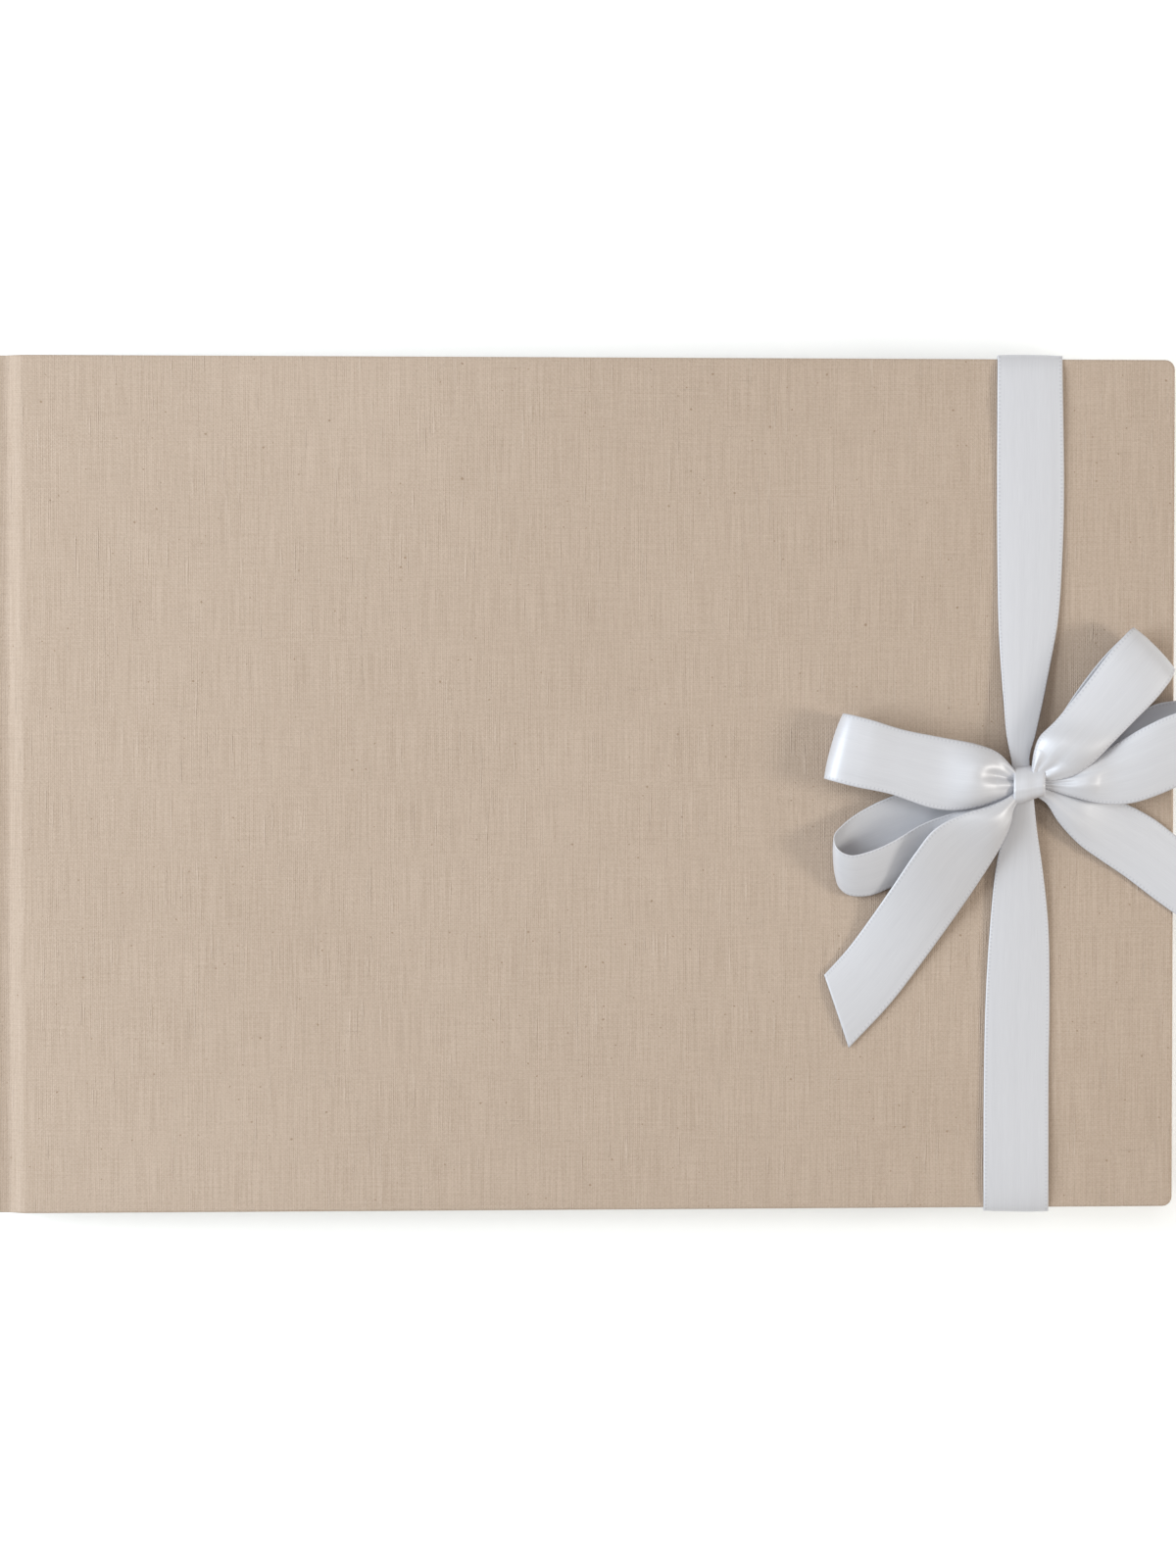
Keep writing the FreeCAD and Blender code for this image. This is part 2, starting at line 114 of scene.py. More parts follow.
class GUESTBOOK_PG_case(bpy.types.PropertyGroup):
    """The linen and how it goes over the boards"""

    linen: colour("Linen", "Middle colour of the linen", (0.480, 0.383, 0.311))
    pale_yarn: colour("Pale yarn", "Colour of the palest yarns", (0.575, 0.471, 0.390))
    dark_yarn: colour("Dark yarn", "Colour of the darkest yarns", (0.385, 0.296, 0.228))
    yarn_pitch: length("Yarn pitch", "Distance from one yarn to the next", 0.5 * MM)
    edge_round: length("Edge rounding", "Rounding of the covered board edges", 0.8 * MM)
    corner_round: length("Corner rounding", "Rounding of the fore-edge corners", 2.5 * MM)
    turn_in: length("Turn-in", "Linen folded over inside a cover", 15 * MM)
    groove_floor: length("Groove floor", "Hinge line to the linen in the groove", 0.9 * MM)
    groove_width: length("Groove width", "Hinge line to the foot of the slope", 4.5 * MM)
    thickness: length("Thickness", "Thickness of the linen", 0.35 * MM)


class GUESTBOOK_PG_paper(bpy.types.PropertyGroup):
    """The leaves and the endpapers"""

    leaf: colour("Leaf", "Colour of the leaves", (0.86, 0.84, 0.79))
    endpaper: colour("Endpaper", "Colour of the endpapers", (0.84, 0.81, 0.75))
    leaf_thickness: length("Leaf thickness", "Thickness of one leaf as drawn", 0.165 * MM)
    uneven: length("Unevenness", "How far leaf edges stand in and out", 0.12 * MM)
    bend_reach: length("Bend reach", "Fold to where an opened leaf lies flat", 20 * MM)
    leaves_per_section: IntProperty(
        name="Leaves per section", description="Leaves in one sewn section", default=10, min=2
    )


class GUESTBOOK_PG_ribbon(bpy.types.PropertyGroup):
    """The satin ribbon"""

    satin: colour("Satin", "Colour of the satin's face", (0.655, 0.664, 0.705))
    shade: colour("Shade", "Colour of the satin between its yarns", (0.54, 0.547, 0.59))
    width: length("Width", "Width of the ribbon", BAND_HIGH.x - BAND_LOW.x)
    thickness: length("Thickness", "Thickness of the satin", 0.26 * MM)
    selvedge: length("Selvedge", "Width of the woven edge", 0.8 * MM)
    stitch: length("Stitch", "Distance between the selvedge's small holes", 1.0 * MM)


class GUESTBOOK_PG_stage(bpy.types.PropertyGroup):
    """The floor, the lights and the camera"""

    floor: colour("Floor", "Colour of the floor", (0.93, 0.93, 0.93))
    view_width: length("View width", "What the camera takes in, left to right", 297.65 * MM)
    view_middle: place("View middle", "Book's middle, rightwards to the view's", 1.95 * MM)
    view_lift: place("View lift", "Book's middle, upwards to the view's", 0.2 * MM)
    distance: length("Distance", "Front cover to the camera", 0.8)
    lean_left: factor("Lean left", "How far left of straight above the camera is", 0.041)
    lean_up: factor("Lean up", "How far above the middle the camera is", 0.0214)
    key_power: power("Key light", "Power of the large light on the left", 11.2)
    low_power: power("Low light", "Power of the small light on the right", 3.3)
    top_power: power("Top light", "Power of the light overhead", 0.8)
    room_light: factor("Room light", "Strength of the light from all round", 0.46)


def settings(name):
    return getattr(bpy.context.scene, f"guestbook_{name}")


# ---- Shader maths ----


class Term:
    """A shader value that takes part in Python arithmetic: each operator adds a Math node."""

    def __init__(self, finish, socket):
        self.finish = finish
        self.socket = socket

    def math(self, operation, *others):
        node = self.finish.node("ShaderNodeMath", {"operation": operation}, [self, *others])
        return Term(self.finish, node.outputs[0])

    def flipped(self, operation, other):
        node = self.finish.node("ShaderNodeMath", {"operation": operation}, [other, self])
        return Term(self.finish, node.outputs[0])

    def __add__(self, other):
        return self.math("ADD", other)

    def __sub__(self, other):
        return self.math("SUBTRACT", other)

    def __mul__(self, other):
        return self.math("MULTIPLY", other)

    def __truediv__(self, other):
        return self.math("DIVIDE", other)

    def __radd__(self, other):
        return self.flipped("ADD", other)

    def __rsub__(self, other):
        return self.flipped("SUBTRACT", other)

    def __rmul__(self, other):
        return self.flipped("MULTIPLY", other)

    def __rtruediv__(self, other):
        return self.flipped("DIVIDE", other)

    def __abs__(self):
        return self.math("ABSOLUTE")

    def sin(self):
        return self.math("SINE")

    def step(self, low, high):
        """0 below low, 1 above high, and smooth between."""
        node = self.finish.node(
            "ShaderNodeMapRange",
            {"interpolation_type": "SMOOTHSTEP"},
            {"Value": self, "From Min": low, "From Max": high},
        )
        return Term(self.finish, node.outputs[0])


class Finish:
    """One material under construction."""

    def __init__(self, name):
        self.material = bpy.data.materials.new(name)
        self.material.use_nodes = True
        self.tree = self.material.node_tree
        self.shader = self.tree.nodes["Principled BSDF"]

    def node(self, kind, options=None, inputs=None):
        """A node of any kind, with its settings first and then its sockets' values or links."""
        node = self.tree.nodes.new(kind)
        for name, value in (options or {}).items():
            setattr(node, name, value)
        pairs = inputs.items() if isinstance(inputs, dict) else enumerate(inputs or [])
        for name, value in pairs:
            if isinstance(value, Term):
                self.tree.links.new(value.socket, node.inputs[name])
            else:
                node.inputs[name].default_value = value
        return node

    def cloth_place(self):
        """Where a point is on the flat cloth or paper, in metres: across, along."""
        spot = self.node("ShaderNodeUVMap", {"uv_map": "flat"})
        return self.split(spot.outputs[0])

    def split(self, socket):
        parts = self.node("ShaderNodeSeparateXYZ")
        self.tree.links.new(socket, parts.inputs[0])
        return [Term(self, output) for output in parts.outputs]

    def object_place(self):
        spot = self.node("ShaderNodeTexCoord")
        return self.split(spot.outputs["Object"])

    def noise(self, x, y, z=0.0, detail=2.0, roughness=0.5):
        """Smooth noise from 0 to 1, from coordinates that are already scaled."""
        spot = self.node("ShaderNodeCombineXYZ", None, [x, y, z])
        grain = self.node(
            "ShaderNodeTexNoise", None, {"Scale": 1.0, "Detail": detail, "Roughness": roughness}
        )
        self.tree.links.new(spot.outputs[0], grain.inputs["Vector"])
        return Term(self, grain.outputs["Fac"])

    def mix(self, share, first, second):
        """A colour between two colours. Mix keeps its colours on sockets 6 and 7."""
        plain = {6: first, 7: second}
        for socket, value in plain.items():
            if not isinstance(value, Term):
                plain[socket] = (*value, 1.0)
        node = self.node("ShaderNodeMix", {"data_type": "RGBA"}, {0: share, **plain})
        return Term(self, node.outputs[2])

    def set(self, **constants):
        """Plain numbers on the shader's own sockets."""
        for name, value in constants.items():
            self.shader.inputs[name.replace("_", " ")].default_value = value

    def link(self, term, socket):
        self.tree.links.new(term.socket, self.shader.inputs[socket])

    def bump(self, height, depth, strength=1.0):
        node = self.node("ShaderNodeBump", None, {"Strength": strength, "Distance": depth})
        self.tree.links.new(height.socket, node.inputs["Height"])
        self.tree.links.new(node.outputs[0], self.shader.inputs["Normal"])


def finished(name, build):
    """The material of that name, made on first use."""
    found = bpy.data.materials.get(name)
    return found if found else build(Finish(name)).material


def linen(finish):
    """Natural linen: plain weave of uneven yarns, thick and thin slubs, and a few specks."""
    case = settings("case")
    across, along = finish.cloth_place()[:2]
    drift = finish.noise(across * 70, along * 70, detail=1.0) * 2.2
    warp = (across / case.yarn_pitch + drift) * math.pi
    weft = (along / case.yarn_pitch + drift) * math.pi
    over = warp.sin() * weft.sin()
    weave = abs(warp.sin()) * 0.5 + abs(weft.sin()) * 0.4 + over * 0.25

    warp_tone = finish.noise(across * 2500, along * 55, detail=3.0, roughness=0.6)
    weft_tone = finish.noise(across * 80, along * 2200, 4.0, detail=3.0, roughness=0.55)
    grain = finish.noise(across * 1500, along * 1500, 6.0, detail=2.0)
    slub = finish.noise(across * 1300, along * 60, 9.0, detail=1.0).step(0.66, 0.75)
    weft_slub = finish.noise(across * 70, along * 1300, 2.0, detail=1.0).step(0.69, 0.78)
    fleck = finish.noise(across * 900, along * 900, 5.0, detail=0.0).step(0.82, 0.86)
    cloud = finish.noise(across * 14, along * 14, 7.0, detail=3.0)

    tone = (warp_tone - 0.5) * 1.4 + (weft_tone - 0.5) * 0.6 + (cloud - 0.5) * 0.4
    tone = tone + (grain - 0.5) * 0.9 + (weave - 0.55) * 0.4 + 0.5
    tone = tone + slub * 0.25 + weft_slub * 0.08
    yarns = finish.mix(tone.step(-0.15, 1.15), tuple(case.dark_yarn), tuple(case.pale_yarn))
    body = finish.mix(0.3, yarns, tuple(case.linen))
    finish.link(finish.mix(fleck * 0.5, body, (0.2, 0.12, 0.06)), "Base Color")
    finish.link(0.95 - weave * 0.1, "Roughness")
    finish.set(Specular_IOR_Level=0.08)
    finish.bump(weave * 0.8 + slub + weft_slub * 0.5 + warp_tone * 1.2, 0.00012, 0.9)
    return finish


def satin(finish):
    """White satin: long glossy floats across a dull back, between two woven selvedges."""
    ribbon = settings("ribbon")
    across, along = finish.cloth_place()[:2]
    middle = ribbon.width / 2
    edge = middle - abs(across - middle)
    selvedge = 1 - edge.step(ribbon.selvedge - 0.0001, ribbon.selvedge + 0.0001)
    stitch = (along * (2 * math.pi / ribbon.stitch)).sin().step(0.0, 0.7)
    dots = stitch * edge.step(0.25 * MM, 0.4 * MM) * selvedge
    floats = finish.noise(across * 6000, along * 160, detail=2.0)
    streak = finish.noise(across * 700, along * 16, 3.0, detail=2.0)
    twill = ((along + across * 0.6) * (2 * math.pi / 0.00042)).sin()
    surface = floats * 0.5 + twill * 0.1 * (1 - selvedge) - dots * 1.4 + selvedge * 0.6

    tone = (floats - 0.5) * 0.5 + (streak - 0.5) * 0.35 + 0.62 - dots * 0.9
    finish.link(
        finish.mix(tone.step(0.0, 1.0), tuple(ribbon.shade), tuple(ribbon.satin)), "Base Color"
    )
    finish.link(0.42 + streak * 0.06 + selvedge * 0.15, "Roughness")
    finish.set(Metallic=0.15, Specular_IOR_Level=0.6)
    finish.bump(surface, 0.00003, 0.6)
    return finish


def paper(tint, fibre):
    """Uncoated paper of a given colour: soft fibres and a little cloud."""

    def build(finish):
        x, y, z = finish.object_place()
        fibres = finish.noise(x * 1900, y * 1400, z * 1900, detail=3.0, roughness=0.7)
        cloud = finish.noise(x * 45, y * 45, z * 45, detail=3.0)
        tone = (fibres * 0.6 + cloud * 0.5 - 0.05).step(0.2, 0.8)
        dull = tuple(channel * (1 - fibre) for channel in tint)
        finish.link(finish.mix(tone, dull, tuple(tint)), "Base Color")
        finish.link(0.78 + fibres * 0.14, "Roughness")
        finish.set(Specular_IOR_Level=0.3)
        finish.bump(fibres, 0.00002, 0.5)
        return finish

    return build


def leaf_stock():
    return finished("leaf stock", paper(tuple(settings("paper").leaf), 0.07))


def endpaper_stock():
    return finished("endpaper stock", paper(tuple(settings("paper").endpaper), 0.08))


def board(finish):
    """Grey-brown pressed board, flecked with recycled fibre."""
    x, y, z = finish.object_place()
    fibres = finish.noise(x * 900, y * 1300, z * 2600, detail=4.0, roughness=0.7)
    fleck = finish.noise(x * 420, y * 420, z * 1900, detail=1.0).step(0.66, 0.74)
    tone = finish.mix(fibres, (0.22, 0.18, 0.135), (0.42, 0.36, 0.29))
    finish.link(finish.mix(fleck * 0.6, tone, (0.12, 0.1, 0.085)), "Base Color")
    finish.link(0.85 + fibres * 0.1, "Roughness")
    finish.bump(fibres, 0.00006, 0.6)
    return finish


def gauze(finish):
    """Open starched gauze, as glued along the folds."""
    _, y, z = finish.object_place()
    pitch = math.pi / 0.0011
    threads = abs((y * pitch).sin()).step(0.75, 0.95) + abs((z * pitch).sin()).step(0.75, 0.95)
    finish.link(
        finish.mix(threads.step(0.0, 1.0), (0.42, 0.36, 0.26), (0.80, 0.77, 0.69)), "Base Color"
    )
    finish.set(Roughness=0.9)
    finish.bump(threads, 0.00008, 0.7)
    return finish


def wound_silk(finish):
    """Ivory silk wound tightly round a core, with a few deeper turns."""
    x, y, z = finish.object_place()
    turns = ((z + (x + y) * 0.25) * (2 * math.pi / 0.00036)).sin()
    hairs = finish.noise(x * 2500, y * 2500, z * 5000, detail=2.0)
    tone = turns * 0.35 + hairs * 0.5 + 0.3
    shadow, sheen = (0.48, 0.43, 0.34), (0.86, 0.83, 0.75)
    finish.link(finish.mix(tone.step(0.0, 1.0), shadow, sheen), "Base Color")
    finish.link(0.42 + hairs * 0.2, "Roughness")
    finish.set(Sheen_Weight=0.2)
    finish.bump(turns * 0.5 + hairs * 0.3, 0.00005, 0.7)
    return finish


# ---- Mesh helpers ----


def new_piece(name, points, faces, flat, material):
    """A mesh object whose UV map called flat holds each point's place on the uncut sheet."""
    mesh = bpy.data.meshes.new(name)
    mesh.from_pydata([tuple(point) for point in points], [], faces)
    layer = mesh.uv_layers.new(name="flat")
    for loop in mesh.loops:
        layer.data[loop.index].uv = flat[loop.vertex_index]
    mesh.materials.append(material)
    mesh.polygons.foreach_set("use_smooth", [True] * len(mesh.polygons))
    mesh.validate()
    piece = bpy.data.objects.new(name, mesh)
    bpy.context.scene.collection.objects.link(piece)
    return piece


def thicken(piece, thickness, offset):
    """Give a sheet its thickness, and keep the result in the mesh."""
    solid = piece.modifiers.new("thickness", "SOLIDIFY")
    solid.thickness = thickness
    solid.offset = offset
    solid.use_quality_normals = True
    apply_modifiers(piece)


def apply_modifiers(piece):
    graph = bpy.context.evaluated_depsgraph_get()
    made = bpy.data.meshes.new_from_object(piece.evaluated_get(graph), depsgraph=graph)
    piece.modifiers.clear()
    piece.data = made


def curve_through(stops, count):
    """Points evenly spaced along a smooth curve through the stops (Catmull-Rom by length)."""
    stops = np.array(stops, float)
    gaps = np.linalg.norm(np.diff(stops, axis=0), axis=1)
    knots = np.concatenate([[0], np.cumsum(np.maximum(gaps, 1e-9) ** 0.5)])
    slopes = np.gradient(stops, knots, axis=0)
    where = np.linspace(0, knots[-1], count)
    span = np.clip(np.searchsorted(knots, where, side="right") - 1, 0, len(stops) - 2)
    width = (knots[span + 1] - knots[span])[:, None]
    t = ((where - knots[span]) / (knots[span + 1] - knots[span]))[:, None]
    start, end = stops[span], stops[span + 1]
    return (
        (2 * t**3 - 3 * t**2 + 1) * start
        + (t**3 - 2 * t**2 + t) * width * slopes[span]
        + (3 * t**2 - 2 * t**3) * end
        + (t**3 - t**2) * width * slopes[span + 1]
    )


def running_length(points):
    steps = np.linalg.norm(np.diff(points, axis=0), axis=1)
    return np.concatenate([[0], np.cumsum(steps)])


def grid_faces(rows, columns, first=0, closed=False):
    """Quads over a grid of points, row by row. Closed joins the last column to the first."""
    faces = []
    for row in range(rows - 1):
        for column in range(columns if closed else columns - 1):
            a = first + row * columns + column
            b = first + row * columns + (column + 1) % columns
            faces.append((a, b, b + columns, a + columns))
    return faces


# ---- The case, the leaves and the end bands ----


def rounded_run(corners, radius, step):
    """Points along a cross-section with its corners rounded, no further apart than step."""
    corners = np.array(corners, float)
    run = [corners[0]]
    for before, corner, after in zip(corners, corners[1:], corners[2:]):
        into, away = before - corner, after - corner
        reach = min(radius, 0.45 * np.linalg.norm(into), 0.45 * np.linalg.norm(away))
        into, away = into / np.linalg.norm(into), away / np.linalg.norm(away)
        for t in np.linspace(0, 1, 5):
            run.append(corner + reach * ((1 - t) ** 2 * into + t**2 * away))
    run.append(corners[-1])
    filled = [run[0]]
    for point in run[1:]:
        gap = np.linalg.norm(point - filled[-1])
        pieces = max(1, math.ceil(gap / step))
        last = filled[-1]
        filled += [last + (point - last) * k / pieces for k in range(1, pieces + 1)]
    return np.array(filled)


# How far from the spine's face the groove starts, at its top and at its floor; how far the turn-in
# lies from the hinge line; and how deep the spine's cloth is folded in at most.
GROOVE_BROW, GROOVE_SIDE = 0.25 * MM, 0.45 * MM
TURN_IN_GAP, SPINE_INSET = 0.2 * MM, 1.4 * MM


def case_section(side, case):
    """The linen's outer line and the line of its turn-ins, from the spine to the fore edge."""
    hinge_x, hinge_z = BLOCK_EDGE, HINGE_HEIGHT[side]
    outside = COVER_TOP if side == FRONT else SPINE_LOW.z
    floor = hinge_z + side * case.groove_floor
    spine_back, spine_face = SPINE_LOW.x, SPINE_HIGH.x
    fore = CLOTH_HIGH.x
    foot, brow = hinge_x + case.groove_width, BOARD_LOW.x
    outer = rounded_run(
        [
            (spine_back, BOOK_MIDDLE), (spine_back, outside), (spine_face + GROOVE_BROW, outside),
            (spine_face + GROOVE_SIDE, floor), (foot, floor), (brow, outside), (fore, outside),
        ],
        case.edge_round, 6 * MM,
    )
    inner = []
    board_face = hinge_z + side * TURN_IN_GAP + side * case.thickness
    for x, z in outer:
        if x < spine_face + 0.1 * MM:
            inner.append((spine_face, z - side * min(SPINE_INSET, abs(z - BOOK_MIDDLE) * 0.1)))
        elif x < foot:
            inner.append((x, z - side * min(abs(z - hinge_z) * 0.9, 2 * case.thickness)))
        else:
            inner.append((x, board_face))
    return outer, np.array(inner)


def case_cloth(side):
    """Half of the linen in one sheet: half the spine, the groove, the cover and its turn-ins."""
    case = settings("case")
    bevel, corner = case.edge_round, case.corner_round
    outer, inner = case_section(side, case)
    fore, head = CLOTH_HIGH.x, CLOTH_HIGH.y
    straight = outer[:, 0] < fore - corner - 1e-6
    outer, inner = outer[straight], inner[straight]
    half = [head - bevel] * len(outer)
    bows = np.linspace(0, math.pi / 2, 6)
    turned = [0.0] * len(outer)
    top = COVER_TOP if side == FRONT else SPINE_LOW.z
    for angle in bows:
        x = fore - corner + (corner - bevel) * math.sin(angle)
        outer = np.vstack([outer, (x, top)])
        inner = np.vstack([inner, (x, inner[-1][1])])
        half.append(head - corner + (corner - bevel) * math.cos(angle))
        turned.append(angle)

    travel = running_length(outer)
    columns = 41
    shares = np.linspace(-1, 1, columns)
    points, flat = [], []
    for (x, z), reach, along in zip(outer, half, travel):
        points += [(x, share * reach, z) for share in shares]
        flat += [(along, share * reach) for share in shares]
    rows = len(outer)
    faces = grid_faces(rows, columns)

    rim = [(row, columns - 1, math.pi / 2 - turned[row]) for row in range(rows)]
    rim += [(rows - 1, column, 0.0) for column in range(columns - 2, 0, -1)]
    rim += [(row, 0, turned[row] - math.pi / 2) for row in range(rows - 1, -1, -1)]
    previous = [row * columns + column for row, column, _ in rim]
    for out, drop, spread in rim_rows(bevel, case.turn_in):
        ring = []
        for row, column, facing in rim:
            x, z = outer[row]
            deep = np.array(inner[row]) - outer[row]
            thick = max(np.linalg.norm(deep), 1e-9)
            round_in = min(bevel, thick / 2)
            fall = drop[0] * round_in + drop[1] * (thick - 2 * round_in)
            reach = bevel - round_in + out[0] * round_in + out[1]
            if out[1] < 0:
                reach = out[1]
            x += deep[0] / thick * fall + math.cos(facing) * reach
            z += deep[1] / thick * fall
            y = shares[column] * half[row] + math.sin(facing) * reach
            ring.append(len(points))
            points.append((x, y, z))
            at = travel[row] + math.cos(facing) * spread, shares[column] * half[row]
            flat.append((at[0], at[1] + math.sin(facing) * spread))
        for k in range(len(rim) - 1):
            faces.append((previous[k + 1], previous[k], ring[k], ring[k + 1]))
        previous = ring
    if side == FRONT:
        faces = [face[::-1] for face in faces]
    cover = COVER_NAME[side]
    cloth = new_piece(f"{cover}_linen", points, faces, flat, finished("woven linen", linen))
    thicken(cloth, case.thickness, -1.0)
    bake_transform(cloth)
    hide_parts(f"{cover}_cover_cloth", "spine_cloth")
    wide = travel[-1] + bevel + (COVER_STACK + case.turn_in)
    tall = 2 * (head + COVER_STACK + case.turn_in)
    trimmed = wide * tall - 2 * (case.turn_in + COVER_STACK) ** 2
    return cloth


def rim_rows(bevel, turn_in):
    """How the linen goes over a board's edge and under it, in steps from the face.

    Each step gives the reach outwards (shares of the rounding, then metres), the drop (shares of
    the rounding, then of the straight edge) and the length of cloth used."""
    quarter = np.linspace(0, math.pi / 2, 5)
    steps = []
    for angle in quarter[1:]:
        steps.append(((math.sin(angle), 0), (1 - math.cos(angle), 0), bevel * angle))
    for angle in quarter:
        drop = (1 + math.sin(angle), 1)
        steps.append(((math.cos(angle), 0), drop, bevel * (math.pi / 2 + angle) + COVER_STACK))
    for share in (0.35, 1.0):
        reach = -turn_in * share
        steps.append(((0, reach), (2, 1), bevel * math.pi + COVER_STACK + turn_in * share))
    return steps


def leaf_stations(reach):
    """Places along a leaf, closer together where it bends beside the fold."""
    near = [BLOCK_EDGE + reach * share for share in np.linspace(0.05, 1.1, 18)]
    far = np.linspace(BLOCK_EDGE + 1.3 * reach, LEAF_HIGH.x, 9)
    return [*near, *far]


def folio(low, high, chance, trim, reach):
    """One folded sheet: a leaf above, a leaf below and a round fold at the spine."""
    radius = (high - low) / 2
    fold = BLOCK_EDGE + trim
    stations = leaf_stations(reach)
    ends = [chance.uniform(-1, 0), chance.uniform(-1, 0)]
    uneven = settings("paper").uneven
    upper = [(x, high) for x in stations[::-1]]
    lower = [(x, low) for x in stations]
    upper[0] = (LEAF_HIGH.x + ends[0] * uneven, high)
    lower[-1] = (LEAF_HIGH.x + ends[1] * uneven, low)
    turn = [
        (fold + radius - radius * math.cos(a), (low + high) / 2 + radius * math.sin(a))
        for a in np.linspace(math.pi / 2, -math.pi / 2, 7)
    ]
    return [*upper, *turn, *lower]


def add_sheet(points, faces, flat, run, half_height):
    first = len(points)
    travel = running_length(np.array(run))
    for (x, z), along in zip(run, travel):
        for y in (-half_height, half_height):
            points.append((x, y, z))
            flat.append((along, y))
    faces += [face[::-1] for face in grid_faces(len(run), 2, first)]


def paper_piece(name, runs, chance, material):
    """Leaves as thin sheets, with their points closer together beside the fold."""
    sheets = settings("paper")
    points, faces, flat = [], [], []
    for run in runs:
        half_height = LEAF_HIGH.y + chance.uniform(-1, 0) * sheets.uneven
        add_sheet(points, faces, flat, run, half_height)
    piece = new_piece(name, points, faces, flat, material)
    thicken(piece, sheets.leaf_thickness, 0.0)
    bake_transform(piece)
    return piece


def section_leaves(number):
    sheets = settings("paper")
    low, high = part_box(f"section_{number}")
    chance = np.random.default_rng(100 + number)
    folded = sheets.leaves_per_section // 2
    pitch = (high.z - low.z) / sheets.leaves_per_section
    runs = []
    for k in range(folded):
        inset = (k + 0.5) * pitch
        runs.append(
            folio(low.z + inset, high.z - inset, chance, 0.1 * MM + k * pitch, sheets.bend_reach)
        )
    made = paper_piece(
        f"section_{number}_leaves", runs, chance, leaf_stock()
    )
    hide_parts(f"section_{number}")


def single_leaf(node, material):
    sheets = settings("paper")
    low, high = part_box(node)
    middle = (low.z + high.z) / 2
    run = [(low.x, middle)] + [(x, middle) for x in leaf_stations(sheets.bend_reach)]
    chance = np.random.default_rng(sum(map(ord, node)))
    made = paper_piece(f"{node}_sheet", [run], chance, material)
    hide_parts(node)


BEAD_RADIUS, SILK_PITCH, SILK_RIDGE = 0.7 * MM, 0.36 * MM, 0.06 * MM
TAPE_BACK, TAPE_FACE, TAPE_REACH = 0.5 * MM, 0.4 * MM, 10 * MM


def end_band(node):
    """A silk-wound bead on its glued tape, at the head or the tail of the spine."""
    low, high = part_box(node)
    outward = 1 if high.y > 0 else -1
    radius = BEAD_RADIUS
    bead_y = (high.y if outward > 0 else -low.y) - radius
    turns, per_turn, sides = round((high.z - low.z) / SILK_PITCH), 6, 14
    points, faces, flat = [], [], []
    rings = turns * per_turn + 1
    for k in range(rings):
        z = low.z + (high.z - low.z) * k / (rings - 1)
        for side in range(sides):
            angle = 2 * math.pi * side / sides
            ridge = SILK_RIDGE * abs(math.sin(math.pi * k / per_turn + angle / 2))
            x = BLOCK_EDGE + (radius - SILK_RIDGE + ridge) * math.cos(angle)
            y = outward * bead_y + (radius - SILK_RIDGE + ridge) * math.sin(angle)
            points.append((x, y, z))
            flat.append((angle * radius, z))
    faces += grid_faces(rings, sides, closed=True)
    faces += [tuple(range(sides))[::-1], tuple(range((rings - 1) * sides, rings * sides))]
    first = len(points)
    tape_low, tape_high = BLOCK_EDGE - TAPE_BACK, BLOCK_EDGE - TAPE_FACE
    near, far = sorted((outward * (bead_y + 0.3 * MM), outward * (bead_y - TAPE_REACH)))
    for z in (low.z, high.z):
        for x, y in ((tape_low, near), (tape_high, near), (tape_high, far), (tape_low, far)):
            points.append((x, y, z))
            flat.append((y, z))
    faces += [tuple(first + k for k in (3, 2, 1, 0)), tuple(first + k for k in (4, 5, 6, 7))]
    faces += [
        (first + k, first + (k + 1) % 4, first + 4 + (k + 1) % 4, first + 4 + k) for k in range(4)
    ]
    made = new_piece(f"{node}_silk", points, faces, flat, finished("wound silk", wound_silk))
    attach(made, "spine")
    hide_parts(node)


# ---- The ribbon and its bow ----

# The bow's points are in millimetres from the middle of its knot: right, up, and off the cover.
# They are drawn as seen from one place high above the book, so a raised point lies on its line
# of sight.
KNOT = np.array(
    ((KNOT_LOW.x + KNOT_HIGH.x) / 2 + 1.1 * MM, (KNOT_LOW.y + KNOT_HIGH.y) / 2 + 0.8 * MM)
)
DRAWN_FROM = np.array((-0.031, 0.017, 0.8))


def on_cover(points):
    """Bow points, in millimetres, as places in the frame."""
    places = np.array(points, float) * MM
    plan, rise = places[:, :2] + KNOT, places[:, 2:]
    plan += (DRAWN_FROM[:2] - plan) * rise / DRAWN_FROM[2]
    return np.hstack([plan, rise + COVER_TOP])


# How a drawn-in ribbon folds: how far from the knot its pleats and its small folds die out, where
# it swells most, how far the swelling goes, and the length of its slow waves.
PLEAT_REACH, FAN_REACH = 22 * MM, 9 * MM
SWELL_AT, SWELL_REACH = 11 * MM, 6 * MM
CREASE_END = 1.2 * MM
WAVE_LENGTH = 9 * MM
DEEPEST_PLEAT = 1.1 * MM
RIBBON_COLUMNS = 37


